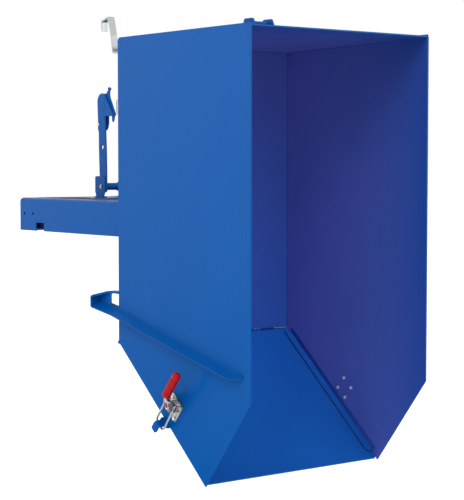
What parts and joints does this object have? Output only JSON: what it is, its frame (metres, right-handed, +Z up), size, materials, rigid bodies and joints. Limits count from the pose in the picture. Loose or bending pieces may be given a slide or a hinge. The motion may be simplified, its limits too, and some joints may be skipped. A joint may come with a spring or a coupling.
{
  "type": "self-tipping forklift container",
  "caption": "Tipping container on a fork frame, shown tipped forward, with a sprung latch, a clamped front flap and side legs.",
  "frame": {"origin": "midway between the two fork pockets at their rear mouths, level with the pocket roofs that rest on the forks", "axes": "+Z up with the frame level, +Y from the container towards the lift truck, +X across to the container's right"},
  "size_m": [1.027, 1.781, 1.747],
  "materials": {
    "blue_paint": "gloss",
    "zinc_steel": "satin",
    "spring_steel": "satin",
    "red_grip": "gloss",
    "black_rubber": "matte"
  },
  "bodies": {
    "fork_frame": {"fork_pocket_left": "blue_paint", "fork_pocket_right": "blue_paint", "pocket_straps": "blue_paint", "lock_housings": "blue_paint", "rear_cross_member": "blue_paint", "front_cross_member": "blue_paint", "latch_deck": "blue_paint", "pivot_shaft": "zinc_steel", "shaft_collars": "blue_paint", "latch_bracket": "blue_paint", "latch_pivot_pin": "zinc_steel", "latch_stop_screw": "zinc_steel", "latch_spring": "spring_steel"},
    "container": {"side_wall_left": "blue_paint", "side_wall_right": "blue_paint", "floor_panel": "blue_paint", "rear_panel": "blue_paint", "rim_strips": "blue_paint", "catch_lugs": "blue_paint", "catch_bar": "blue_paint", "hinge_ears": "blue_paint", "floor_knuckles": "blue_paint", "flap_hinge_rod": "zinc_steel", "seal_studs": "blue_paint", "seal_angle_left": "blue_paint", "seal_angle_right": "blue_paint", "seal_rubber_left": "black_rubber", "seal_rubber_right": "black_rubber", "rib_left": "blue_paint", "rib_right": "blue_paint", "leg_left": "blue_paint", "leg_right": "blue_paint", "rope_hook": "zinc_steel", "rope_hook_bolt": "zinc_steel", "clamp_base_left": "zinc_steel", "clamp_base_right": "zinc_steel", "clamp_bolts": "zinc_steel", "clamp_pivot_pins": "zinc_steel"},
    "flap": {"flap_panel": "blue_paint", "flap_lip": "blue_paint", "flap_knuckles": "blue_paint", "flap_hook_left": "blue_paint", "flap_hook_right": "blue_paint"},
    "latch": {"latch_post": "blue_paint", "latch_pivot_tube": "blue_paint", "latch_cheek": "blue_paint", "latch_spacer": "blue_paint", "latch_head_bolt": "zinc_steel", "pawl_pin": "blue_paint"},
    "pawl": {"latch_pawl": "blue_paint"},
    "clamp_handle_left": {"clamp_handle_left": "zinc_steel", "clamp_grip_left": "red_grip"},
    "clamp_bail_left": {"clamp_trunnion_left": "zinc_steel", "clamp_bail_left": "zinc_steel"},
    "clamp_tab_left": {"clamp_lock_tab_left": "red_grip"},
    "clamp_handle_right": {"clamp_handle_right": "zinc_steel", "clamp_grip_right": "red_grip"},
    "clamp_bail_right": {"clamp_trunnion_right": "zinc_steel", "clamp_bail_right": "zinc_steel"},
    "clamp_tab_right": {"clamp_lock_tab_right": "red_grip"}
  },
  "joints": [
    {"name": "container_tilt", "type": "hinge", "parent": "fork_frame", "child": "container", "pos_m": [0, -0.929, -0.009], "axis": [-1, 0, 0], "range_deg": [0, 90]},
    {"name": "flap_swing", "type": "hinge", "parent": "container", "child": "flap", "pos_m": [0, -0.945, -0.541], "axis": [1, 0, 0], "range_deg": [0, 95]},
    {"name": "latch_swing", "type": "hinge", "parent": "fork_frame", "child": "latch", "pos_m": [0, -0.174, 0.053], "axis": [-1, 0, 0], "range_deg": [0, 20], "stiffness_Nm_per_rad": 12, "springref_deg": -14.32},
    {"name": "pawl_swing", "type": "hinge", "parent": "latch", "child": "pawl", "pos_m": [0, -0.197, 0.435], "axis": [-1, 0, 0], "range_deg": [0, 20]},
    {"name": "handle_left_swing", "type": "hinge", "parent": "container", "child": "clamp_handle_left", "pos_m": [-0.461, -1.32929, -0.74075], "axis": [0, -0.7676, -0.641], "range_deg": [0, 90]},
    {"name": "bail_left_swing", "type": "hinge", "parent": "clamp_handle_left", "child": "clamp_bail_left", "pos_m": [-0.455, -1.33954, -0.72847], "axis": [0, -0.7676, -0.641], "range_deg": [-79.65, 0]},
    {"name": "tab_left_press", "type": "hinge", "parent": "clamp_handle_left", "child": "clamp_tab_left", "pos_m": [-0.4765, -1.33442, -0.73461], "axis": [0, -0.7676, -0.641], "range_deg": [0, 15], "stiffness_Nm_per_rad": 0.05, "springref_deg": -17.19},
    {"name": "handle_right_swing", "type": "hinge", "parent": "container", "child": "clamp_handle_right", "pos_m": [0.461, -1.32929, -0.74075], "axis": [0, 0.7676, 0.641], "range_deg": [0, 90]},
    {"name": "bail_right_swing", "type": "hinge", "parent": "clamp_handle_right", "child": "clamp_bail_right", "pos_m": [0.455, -1.33954, -0.72847], "axis": [0, 0.7676, 0.641], "range_deg": [-79.65, 0]},
    {"name": "tab_right_press", "type": "hinge", "parent": "clamp_handle_right", "child": "clamp_tab_right", "pos_m": [0.4765, -1.33442, -0.73461], "axis": [0, 0.7676, 0.641], "range_deg": [0, 15], "stiffness_Nm_per_rad": 0.05, "springref_deg": -17.19}
  ],
  "couplings": [
    {"joint": "bail_left_swing", "follows": "handle_left_swing", "ratio": -0.885},
    {"joint": "bail_right_swing", "follows": "handle_right_swing", "ratio": -0.885}
  ]
}
